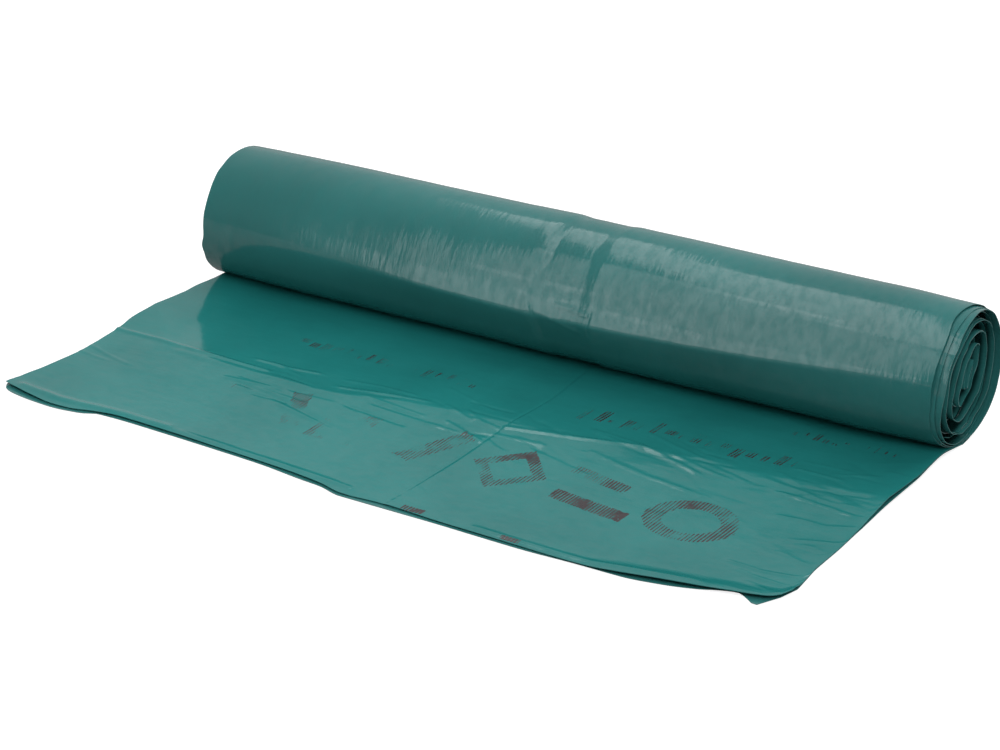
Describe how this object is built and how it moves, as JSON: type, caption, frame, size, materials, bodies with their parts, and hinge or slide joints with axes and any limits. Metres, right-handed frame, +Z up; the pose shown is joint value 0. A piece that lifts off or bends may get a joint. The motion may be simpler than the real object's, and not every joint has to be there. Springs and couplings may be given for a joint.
{
  "type": "bin bag roll",
  "caption": "Long roll of side-gusseted film bin bags, wound without a tube, with the free end of the web lying out in front and its two layers parting at the edge.",
  "frame": {"origin": "on the floor, in the middle of the roll's flat spot, under the roll's axis", "axes": "+X along the roll, +Y towards the back of the roll, so that the free end lies out towards -Y, +Z up"},
  "size_m": [0.3698, 0.2045, 0.0592],
  "materials": {
    "film": "thin, glossy, slightly wrinkled polyethylene film, opaque in the roll, with worn dark print"
  },
  "bodies": {
    "root": {"bag_roll": "film"}
  },
  "joints": []
}
